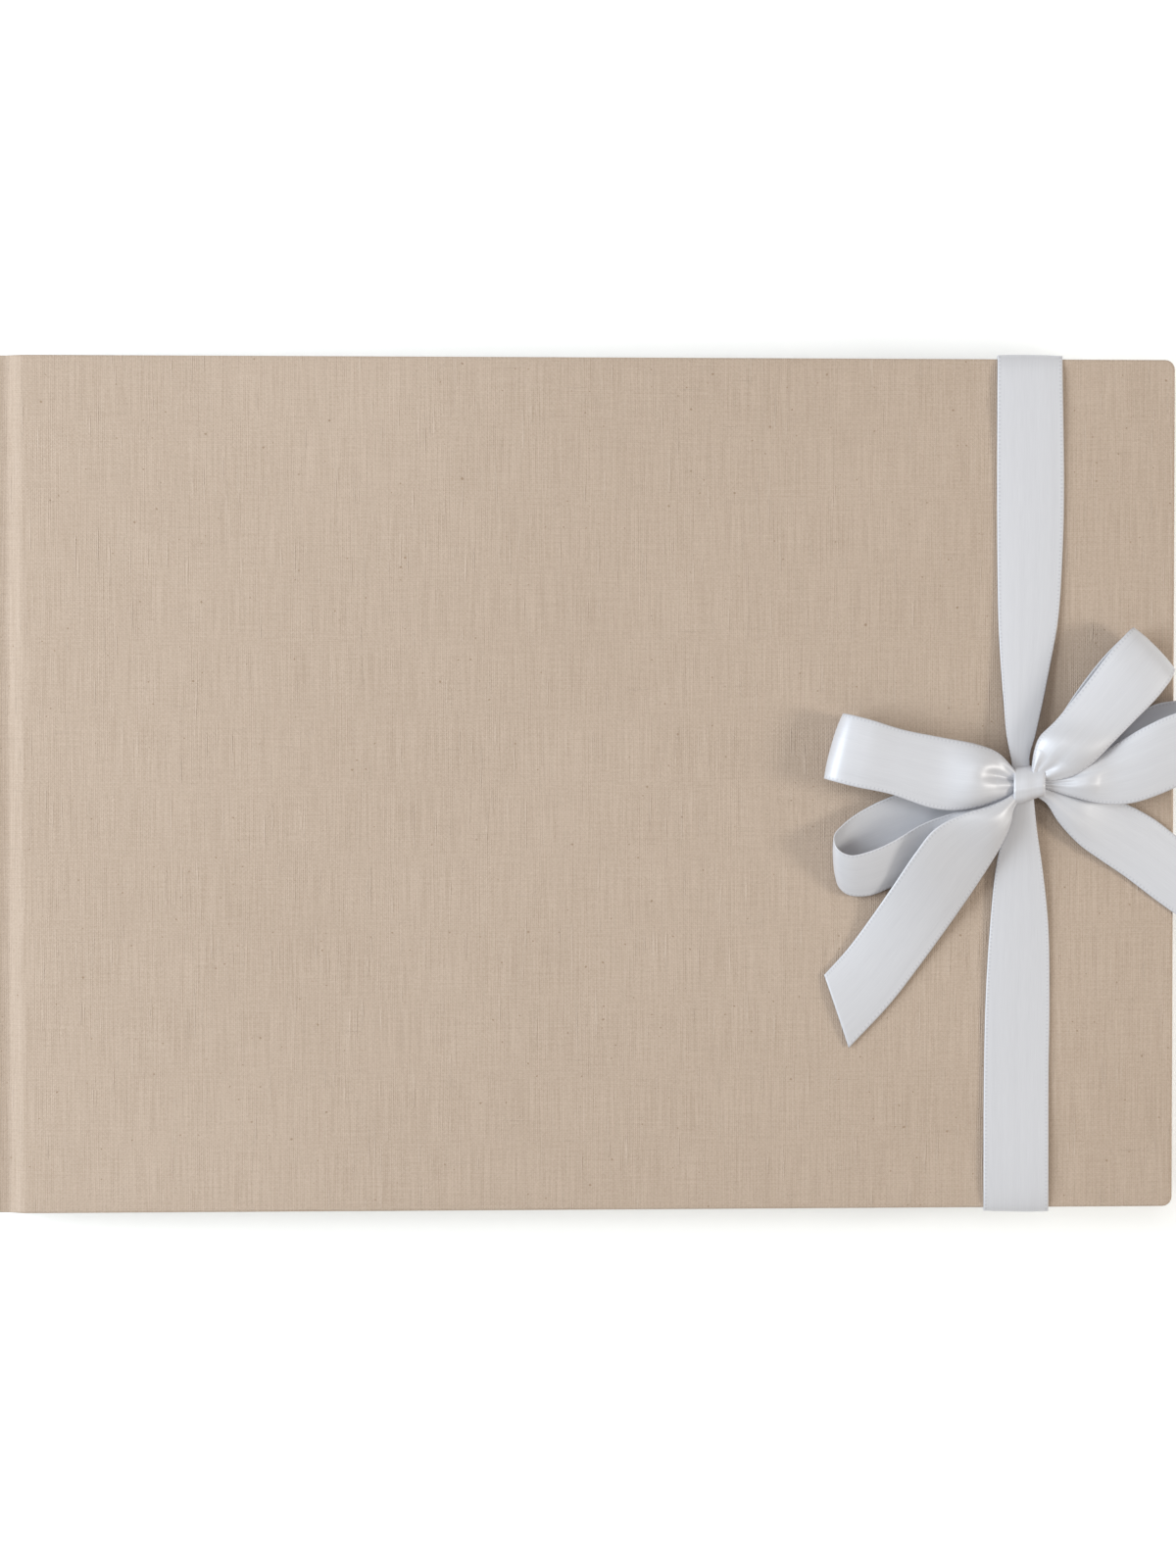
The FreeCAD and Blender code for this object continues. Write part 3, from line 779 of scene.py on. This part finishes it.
def strip(
    name, left, right, rows, pleats=2, crown=0.6, puff=0.0, dimple=7.0, gather=0.25, fan=0.1, seed=1
):
    """A length of ribbon between two edges, with pleats wherever it is drawn in.

    A ribbon that is narrower than its cut width takes up the rest in lengthwise pleats. crown
    bows it outwards across its width. puff swells it a little way from the knot, round a crease
    that runs dimple millimetres out from it. fan is the depth of the small folds beside it."""
    ribbon = settings("ribbon")
    chance = np.random.default_rng(seed)
    edges = curve_through(np.hstack([on_cover(left), on_cover(right)]), rows)
    first_edge, second_edge = edges[:, :3], edges[:, 3:]
    middle = (first_edge + second_edge) / 2
    across = second_edge - first_edge
    width = np.linalg.norm(across, axis=1)
    normal = np.cross(across, np.gradient(middle, axis=0))
    normal /= np.linalg.norm(normal, axis=1)[:, None]
    travel = running_length(middle)
    away = np.linalg.norm(middle - on_cover([(0, 0, 5)]), axis=1)

    share = np.linspace(0, 1, RIBBON_COLUMNS)
    side = 2 * share - 1
    spare = np.sqrt(2 * np.maximum((0.8 * ribbon.width / width) ** 2 - 1, 0))
    height = np.minimum(width / (2 * math.pi * pleats) * spare, DEEPEST_PLEAT) * gather
    height *= np.exp(-((away / PLEAT_REACH) ** 2))
    phase = chance.uniform(0, 2 * math.pi)
    wander = 0.5 * np.sin(travel / WAVE_LENGTH + chance.uniform(0, 6))
    waves = np.cos(
        2 * math.pi * pleats * share[None, :] + phase + wander[:, None]
    ) + 0.3 * np.cos(2 * math.pi * (2 * pleats - 1) * share[None, :] + 2 * phase)
    window = 1 - side[None, :] ** 6
    lift = height[:, None] * (waves + 1.0) * window
    swell = crown + puff * np.exp(-(((travel - SWELL_AT) / SWELL_REACH) ** 2))
    lift += swell[:, None] * MM * (1 - np.abs(side[None, :]) ** 2.5)
    hollow = 1 / (1 + np.exp((travel - dimple * MM) / CREASE_END))
    lift -= puff * 0.6 * MM * hollow[:, None] * np.exp(-(((side[None, :] - 0.1) / 0.25) ** 2))
    fanned = fan * MM * np.exp(-away / FAN_REACH)
    lift += fanned[:, None] * (1 + np.cos(8 * math.pi * share[None, :] + 3 * phase)) * window
    for k in range(3):
        slow = chance.uniform(0.25, 0.6) / WAVE_LENGTH
        lift += 0.08 * MM * (1 + np.sin(
            travel[:, None] * slow + chance.uniform(0, 6) + side[None, :] * chance.uniform(-2, 2)
        ))
    points = (
        first_edge[:, None, :] + across[:, None, :] * share[None, :, None]
        + normal[:, None, :] * lift[:, :, None]
    )
    flat = [(part * ribbon.width, along) for along in travel for part in share]
    piece = new_piece(
        name, points.reshape(-1, 3), grid_faces(rows, RIBBON_COLUMNS), flat,
        finished("ribbon satin", satin),
    )
    thicken(piece, ribbon.thickness, 0.0)
    return piece, travel[-1]


def fix_ribbon(piece, length_along, held, rests_on, *nodes):
    """What every piece of ribbon shares: it rides on the front cover, and the model's parts it
    stands for are hidden.
    """
    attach(piece, "front_cover")
    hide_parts(*nodes)
    settings("ribbon").width


def make_band():
    """The ribbon round the front board: over its face, round its edges and under the endpaper."""
    face = [
        (-11.4, 5.2, -106.5, 0.35), (-11.4, 5.2, -75.3, 0.4), (-11.0, 5.4, -55.3, 0.5),
        (-9.9, 5.0, -36.7, 0.8), (-8.4, 3.4, -21.8, 1.5), (-6.4, 2.0, -12.5, 2.6),
        (-4.6, 1.2, -5.0, 3.6), (-4.0, 0.8, 0.0, 4.0), (-4.7, 0.0, 5.8, 3.9),
        (-5.8, 1.5, 11.7, 3.3), (-6.5, 3.2, 19.2, 2.3), (-7.4, 5.4, 30.3, 1.3),
        (-8.0, 7.3, 41.5, 0.7), (-8.3, 8.4, 59.0, 0.4), (-8.4, 8.7, 74.0, 0.4),
        (-8.4, 8.2, 105.2, 0.35),
    ]
    left = [(low, y, z) for low, _, y, z in face]
    right = [(high, y, z) for _, high, y, z in face]
    edge, under = CLOTH_HIGH.y / MM, -(COVER_TOP - HINGE_HEIGHT[FRONT]) / MM + 0.15
    shift = KNOT[1] / MM
    head, tail = edge - shift + 0.25, -edge - shift - 0.25
    for y, z in ((head, -0.7), (head, under + 0.7), (head - 1.0, under), (head - 6, under + 0.25)):
        left.append((-8.4, y, z))
        right.append((8.2, y, z))
    for y, z in ((tail, -0.7), (tail, under + 0.7), (tail + 1.0, under), (tail + 6, under + 0.25)):
        left.insert(0, (-11.4, y, z))
        right.insert(0, (5.2, y, z))
    middle = [(-9.9, 0.0, under + 0.3)], [(6.7, 0.0, under + 0.3)]
    band, used = strip(
        "ribbon_round_cover", left + middle[0], right + middle[1], 560, pleats=1, crown=0.25,
        gather=0.0, fan=0.0, seed=3,
    )
    fix_ribbon(band, used, "stretched", ["front_linen"], "ribbon_band")


LOOPS = {
    "upper_left": {
        "left": [
            (-3.0, -2.2, 6.0), (-5.5, -3.8, 6.6), (-9.5, -5.6, 7.4), (-16.2, -7.3, 8.4),
            (-24.4, -6.9, 8.9), (-35.6, -3.2, 9.4), (-44.3, -1.4, 9.6), (-50.2, 0.1, 8.4),
            (-52.1, 0.7, 5.8), (-50.4, 0.5, 3.4), (-44.0, -0.6, 2.6), (-34.0, -2.0, 2.6),
            (-22.0, -3.6, 2.9), (-10.0, -2.6, 3.6), (-3.0, -1.4, 4.6),
        ],
        "right": [
            (-2.6, 1.2, 6.2), (-4.8, 4.0, 6.8), (-8.0, 7.2, 7.4), (-13.5, 9.4, 8.0),
            (-22.2, 11.1, 8.2), (-32.6, 13.2, 8.6), (-40.4, 15.6, 8.9), (-45.6, 16.9, 7.8),
            (-47.1, 17.1, 5.2), (-45.4, 16.4, 2.9), (-39.0, 14.6, 2.2), (-30.0, 12.0, 2.2),
            (-19.0, 8.6, 2.6), (-9.0, 4.4, 3.4), (-2.6, 1.0, 4.6),
        ],
        "puff": 2.2, "dimple": 9.5, "gather": 0.3, "fan": 0.16,
        "seed": 11,
    },
    "lower_left": {
        "left": [
            (-3.0, -3.6, 4.6), (-6.4, -6.2, 4.0), (-12.0, -11.5, 3.4), (-20.0, -18.0, 2.6),
            (-28.0, -23.2, 2.2), (-34.8, -26.6, 2.0), (-41.0, -28.9, 2.0), (-46.0, -28.7, 1.9),
            (-48.3, -26.8, 1.6), (-48.9, -24.4, 1.2), (-46.8, -22.8, 0.9), (-39.2, -20.4, 0.7),
            (-27.4, -15.6, 0.8), (-14.4, -9.0, 1.5), (-3.0, -2.6, 3.4),
        ],
        "right": [
            (-3.0, -1.6, 5.6), (-7.0, -3.6, 6.0), (-13.0, -5.8, 6.8), (-20.4, -8.2, 7.4),
            (-27.4, -10.8, 7.4), (-34.8, -15.1, 7.8), (-40.8, -17.7, 8.1), (-45.8, -18.6, 8.2),
            (-48.8, -16.9, 7.9), (-49.5, -13.9, 6.6), (-47.2, -10.9, 4.6), (-41.4, -6.8, 3.4),
            (-31.0, -2.6, 3.0), (-16.0, -0.6, 2.6), (-3.0, -0.8, 4.0),
        ],
        "crown": 0.4, "puff": 0.8, "dimple": 8.0, "gather": 1.0, "fan": 0.1,
        "seed": 12,
    },
    "upper_right": {
        "left": [
            (0.6, 1.6, 6.4), (0.9, 5.0, 7.2), (1.4, 8.0, 7.8), (2.6, 11.2, 8.2),
            (6.9, 15.6, 8.6), (14.3, 24.6, 8.8), (21.4, 33.8, 9.0), (25.2, 38.0, 7.8),
            (26.4, 38.9, 5.4), (24.6, 37.2, 3.2), (19.0, 31.6, 2.4), (12.0, 22.6, 2.6),
            (6.4, 13.6, 3.0), (2.8, 6.6, 3.6), (0.8, 1.4, 4.8),
        ],
        "right": [
            (3.2, 0.4, 6.4), (6.4, 0.3, 7.0), (11.4, 1.5, 7.8), (15.8, 4.3, 8.6),
            (21.8, 10.2, 9.4), (27.4, 15.8, 9.8), (33.2, 21.8, 9.6), (36.4, 26.2, 8.2),
            (37.0, 28.4, 5.8), (35.4, 27.2, 3.6), (29.6, 20.8, 2.8), (22.4, 13.4, 2.8),
            (14.6, 6.8, 3.0), (8.0, 2.6, 3.6), (3.2, 0.6, 4.8),
        ],
        "puff": 2.0, "dimple": 6.5, "gather": 0.4, "fan": 0.1,
        "seed": 13,
    },
    "lower_right": {
        "left": [
            (3.0, 1.2, 5.6), (7.0, 2.2, 5.8), (12.6, 4.0, 6.2), (20.4, 8.2, 7.0),
            (27.0, 12.4, 8.8), (34.0, 16.0, 10.4), (42.0, 18.8, 10.8), (49.0, 20.6, 9.6),
            (52.0, 21.2, 6.8), (48.8, 21.2, 4.4), (40.0, 20.6, 3.6), (32.2, 19.4, 3.2),
            (22.0, 13.4, 2.4), (11.0, 5.4, 2.4), (3.0, 1.0, 4.0),
        ],
        "right": [
            (3.4, -1.6, 5.2), (6.6, -2.6, 5.6), (11.4, -4.0, 6.2), (18.6, -5.7, 6.6),
            (26.0, -5.6, 6.8), (33.6, -3.2, 6.8), (42.4, 1.0, 6.6), (49.6, 5.2, 5.8),
            (53.4, 7.8, 4.0), (50.0, 7.6, 1.9), (41.6, 4.6, 1.4), (32.4, 2.6, 1.3),
            (21.0, 0.6, 1.4), (10.0, -0.8, 2.2), (3.2, -1.0, 4.0),
        ],
        "puff": 1.6, "dimple": 9.0, "gather": 0.5, "fan": 0.3,
        "seed": 14,
    },
}

TAILS = {
    "left": {
        "right": [
            (-2.6, -1.6, 6.4), (-5.6, -4.1, 8.2), (-9.8, -6.2, 9.6), (-16.4, -8.0, 10.8),
            (-24.0, -11.9, 11.2), (-29.2, -18.3, 9.4), (-34.8, -26.6, 5.2), (-40.2, -34.4, 2.2),
            (-46.0, -42.2, 0.9), (-52.3, -49.2, 0.6),
        ],
        "left": [
            (-2.6, -4.2, 5.8), (-4.3, -7.2, 6.6), (-4.8, -10.8, 6.8), (-7.4, -16.6, 6.0),
            (-12.5, -24.8, 3.8), (-17.4, -32.0, 2.2), (-22.4, -39.1, 1.2), (-28.4, -47.4, 0.7),
            (-35.6, -56.7, 0.5), (-46.0, -67.8, 0.5),
        ],
        "crown": 0.5, "puff": 1.6, "seed": 21,
    },
    "right": {
        "right": [
            (2.2, -4.0, 4.6), (4.6, -5.8, 4.2), (7.6, -10.4, 3.4), (12.8, -16.0, 2.2),
            (18.6, -20.2, 1.4), (24.8, -24.4, 0.8), (32.2, -30.0, 0.6), (38.6, -34.6, 0.5),
            (45.0, -39.4, 0.5), (52.0, -44.8, 0.5),
        ],
        "left": [
            (3.2, -0.6, 4.8), (7.2, -1.2, 4.2), (12.6, -2.4, 3.6), (18.6, -3.8, 2.8),
            (25.0, -5.9, 1.8), (31.5, -9.3, 1.1), (37.3, -13.6, 0.7), (43.6, -18.6, 0.6),
            (50.0, -23.4, 0.5), (58.4, -29.6, 0.5),
        ],
        "crown": 0.5, "puff": 0.8, "seed": 22,
    },
}


# The knot, in millimetres: half its width, the radius of its rolled edges, how far they go under,
# how tall and deep it is, and how square it is (2 is round). The first two numbers are the shares
# of the cloth's half width where the flat face and the rolls end.
FACE_END, ROLL_END = 0.6, 0.8
KNOT_HALF, ROLL_RADIUS, TUCK_UNDER = 3.5, 0.45, 1.6
KNOT_TALL, KNOT_DEEP, SQUARENESS = 4.3, 4.0, 2.3
KNOT_ROWS, KNOT_COLUMNS = 73, 41


def make_knot():
    """The last turn of the bow: ribbon drawn over the knot, its edges rolled under."""
    ribbon = settings("ribbon")
    points, flat = [], []
    around = 0.0
    before = None
    for row in range(KNOT_ROWS):
        turn = 2 * math.pi * row / (KNOT_ROWS - 1)
        swell = abs(math.cos(turn)) ** SQUARENESS + abs(math.sin(turn)) ** SQUARENESS
        reach = swell ** (-1 / SQUARENESS)
        for column in range(KNOT_COLUMNS):
            side = 2 * column / (KNOT_COLUMNS - 1) - 1
            out, sign = abs(side), 1 if side >= 0 else -1
            if out < FACE_END:
                x, tuck = out / FACE_END * KNOT_HALF, 0.05 * (out / FACE_END) ** 2
            elif out < ROLL_END:
                roll = (out - FACE_END) / (ROLL_END - FACE_END) * math.pi
                x = KNOT_HALF + ROLL_RADIUS * math.sin(roll)
                tuck = 0.05 + ROLL_RADIUS * (1 - math.cos(roll))
            else:
                x, tuck = KNOT_HALF - (out - ROLL_END) / (1 - ROLL_END) * TUCK_UNDER, 0.95
            crease = 0.05 * math.cos(2 * math.pi * (1.3 * side + 0.1) + 0.6 * math.sin(turn))
            lean = 0.18 * sign * x
            tall = KNOT_TALL - 0.13 * sign * x
            y = -0.5 + lean + (tall + crease - tuck) * reach * math.cos(turn)
            y -= 1.1 * max(math.sin(turn), 0) ** 2
            z = 5.1 + (KNOT_DEEP + crease - tuck) * reach * math.sin(turn)
            z += 0.22 * math.exp(-(((turn - 1.62) / 0.15) ** 2))
            points.append((sign * x + 0.15, y, z))
        spot = np.array(points[-1 - KNOT_COLUMNS // 2])
        if before is not None:
            around += np.linalg.norm(spot - before) * MM
        before = spot
        flat += [
            (column / (KNOT_COLUMNS - 1) * ribbon.width, around) for column in range(KNOT_COLUMNS)
        ]
    knot = new_piece(
        "knot_of_bow", on_cover(points), grid_faces(KNOT_ROWS, KNOT_COLUMNS), flat,
        finished("ribbon satin", satin),
    )
    thicken(knot, ribbon.thickness, 0.0)
    fix_ribbon(knot, around, "gathered", ["ribbon_round_cover"], "bow_knot")


# ---- Operators ----


class GUESTBOOK_OT_boards(bpy.types.Operator):
    """Give the boards, the pasted endpapers and the spine's linings their finishes"""

    bl_idname = "guestbook.boards"
    bl_label = "Boards and linings"

    def execute(self, context):
        endpaper = endpaper_stock()
        lining = finished("spine lining stock", paper((0.42, 0.34, 0.24), 0.18))
        thread = finished("waxed thread", wound_silk)
        grey_board = finished("pressed board", board)
        finishes = {
            "front_board": grey_board, "back_board": grey_board, "spine_board": grey_board,
            "front_pastedown": endpaper, "back_pastedown": endpaper,
            "spine_mull": finished("starched gauze", gauze), "spine_lining": lining,
            "sewing_thread": thread,
        }
        for node, material in finishes.items():
            frame["nodes"][node].data.materials.clear()
            frame["nodes"][node].data.materials.append(material)
        return {"FINISHED"}


class GUESTBOOK_OT_case(bpy.types.Operator):
    """Cover both boards and the spine in linen"""

    bl_idname = "guestbook.case"
    bl_label = "Linen case"

    def execute(self, context):
        for side in (FRONT, BACK):
            case_cloth(side)
        return {"FINISHED"}


class GUESTBOOK_OT_leaves(bpy.types.Operator):
    """Make the sewn sections, the loose endpapers and the leaves that turn"""

    bl_idname = "guestbook.leaves"
    bl_label = "Leaves"

    def execute(self, context):
        for number in range(1, SECTIONS + 1):
            section_leaves(number)
        single_leaf("front_flyleaf", endpaper_stock())
        single_leaf("back_flyleaf", endpaper_stock())
        for number in range(1, TURNING_LEAVES + 1):
            single_leaf(f"leaf_{number}", leaf_stock())
        return {"FINISHED"}


class GUESTBOOK_OT_end_bands(bpy.types.Operator):
    """Wind the head and tail bands"""

    bl_idname = "guestbook.end_bands"
    bl_label = "End bands"

    def execute(self, context):
        end_band("head_band")
        end_band("tail_band")
        return {"FINISHED"}


class GUESTBOOK_OT_ribbon(bpy.types.Operator):
    """Pass the ribbon round the front board"""

    bl_idname = "guestbook.ribbon"
    bl_label = "Ribbon"

    def execute(self, context):
        make_band()
        return {"FINISHED"}


class GUESTBOOK_OT_bow(bpy.types.Operator):
    """Tie the bow: four loops, two tails and the knot"""

    bl_idname = "guestbook.bow"
    bl_label = "Bow"

    def execute(self, context):
        for name, loop in LOOPS.items():
            made, used = strip(f"loop_{name}", rows=190, **loop)
            fix_ribbon(made, used, "folded", ["front_linen"], f"bow_loop_{name}")
        for name, tail in TAILS.items():
            made, used = strip(f"tail_{name}", rows=120, dimple=-10.0, gather=0.1, fan=0.03, **tail)
            fix_ribbon(made, used, "laid", ["front_linen"], f"bow_tail_{name}")
        make_knot()
        return {"FINISHED"}


# Each light's name, place, size and tint. They all point at one spot on the cover.
LIGHTS = (
    ("key", (-0.82, 0.08, 0.56), 0.7, (0.85, 0.935, 1.0)),
    ("low", (0.85, -0.06, 0.5), 0.22, (0.985, 0.955, 0.88)),
    ("top", (0.02, 0.22, 0.95), 0.2, (0.96, 0.97, 1.0)),
)
LIGHTS_AIM = 0.02
ROOM_TINT = (1.0, 0.93, 0.84, 1.0)
FLOOR_REACH = 20.0
FLOOR_GAP = 0.4 * MM
SENSOR_WIDTH = 36.0
VIEW_SHAPE = 4 / 3


class GUESTBOOK_OT_stage(bpy.types.Operator):
    """Set the floor, the lights and the camera"""

    bl_idname = "guestbook.stage"
    bl_label = "Stage"

    def execute(self, context):
        stage = settings("stage")
        floor_piece(stage)
        for light in LIGHTS:
            self.area_light(*light)
        self.camera(stage)
        scene = bpy.context.scene
        scene.view_settings.view_transform = "Standard"
        world = bpy.data.worlds.new("room")
        world.use_nodes = True
        background = world.node_tree.nodes["Background"]
        background.inputs["Color"].default_value = ROOM_TINT
        background.inputs["Strength"].default_value = stage.room_light
        scene.world = world
        return {"FINISHED"}

    def area_light(self, name, where, size, tint):
        lamp = bpy.data.lights.new(name, "AREA")
        lamp.size = size
        lamp.energy = getattr(settings("stage"), f"{name}_power")
        lamp.color = tint
        light = bpy.data.objects.new(name, lamp)
        light.location = where
        aim = Vector((LIGHTS_AIM, 0, COVER_TOP)) - light.location
        light.rotation_euler = aim.to_track_quat("-Z", "Y").to_euler()
        bpy.context.scene.collection.objects.link(light)

    def camera(self, stage):
        lens = bpy.data.cameras.new("camera")
        lens.sensor_width = SENSOR_WIDTH
        lens.lens = lens.sensor_width * stage.distance / (stage.view_width * VIEW_SHAPE)
        lens.dof.use_dof = False
        camera = bpy.data.objects.new("camera", lens)
        aim = Vector((stage.view_middle, stage.view_lift, COVER_TOP))
        back = Vector((-stage.lean_left, stage.lean_up, 1)).normalized()
        right = Vector((0, 1, 0)).cross(back).normalized()
        turn = Matrix((right, back.cross(right), back)).transposed()
        camera.location = aim + back * stage.distance
        camera.rotation_euler = turn.to_euler()
        bpy.context.scene.collection.objects.link(camera)
        bpy.context.scene.camera = camera


def floor_piece(stage):
    """A pale floor with a faint grain that glows faintly: painted light that lifts the shadows on
    it.
    """

    def build(finish):
        x, y, _ = finish.object_place()
        grain = finish.noise(x * 160, y * 160, detail=3.0)
        pale = tuple(stage.floor)
        finish.link(finish.mix(grain, tuple(c * 0.985 for c in pale), pale), "Base Color")
        # The floor glows faintly with a cool tint. This is painted light: it lightens and cools the
        # book's shadows on the floor and fills the book from below.
        finish.set(Roughness=0.9, Specular_IOR_Level=0.2, Emission_Strength=0.15)
        finish.set(Emission_Color=(0.84, 0.93, 1.0, 1.0))
        return finish

    corners = [(x * FLOOR_REACH, y * FLOOR_REACH) for x, y in ((-1, -1), (1, -1), (1, 1), (-1, 1))]
    points = [(x, y, SPINE_LOW.z - FLOOR_GAP) for x, y in corners]
    floor = new_piece("floor", points, [(0, 1, 2, 3)], corners, finished("floor finish", build))


class GUESTBOOK_PT_panel(bpy.types.Panel):
    """Guest book pieces and settings"""

    bl_label = "Guest Book"
    bl_idname = "GUESTBOOK_PT_panel"
    bl_space_type = "VIEW_3D"
    bl_region_type = "UI"
    bl_category = "Guest Book"

    def draw(self, context):
        for step in STEPS:
            self.layout.operator(f"guestbook.{step}")
        for group, made in GROUPS.items():
            box = self.layout.box()
            box.label(text=group.capitalize())
            for name in made.__annotations__:
                box.prop(settings(group), name)


GROUPS = {
    "case": GUESTBOOK_PG_case,
    "paper": GUESTBOOK_PG_paper,
    "ribbon": GUESTBOOK_PG_ribbon,
    "stage": GUESTBOOK_PG_stage,
}
OPERATORS = (
    GUESTBOOK_OT_boards, GUESTBOOK_OT_case, GUESTBOOK_OT_leaves, GUESTBOOK_OT_end_bands,
    GUESTBOOK_OT_ribbon, GUESTBOOK_OT_bow, GUESTBOOK_OT_stage,
)
STEPS = [operator.bl_idname.split(".")[1] for operator in OPERATORS]


def register():
    for made in (*GROUPS.values(), *OPERATORS, GUESTBOOK_PT_panel):
        bpy.utils.register_class(made)
    for name, made in GROUPS.items():
        setattr(bpy.types.Scene, f"guestbook_{name}", PointerProperty(type=made))


def unregister():
    for name in GROUPS:
        delattr(bpy.types.Scene, f"guestbook_{name}")
    for made in (GUESTBOOK_PT_panel, *reversed(OPERATORS), *reversed(GROUPS.values())):
        bpy.utils.unregister_class(made)


def main():
    register()
    for step in STEPS:
        getattr(bpy.ops.guestbook, step)()


if __name__ == "__main__":
    main()
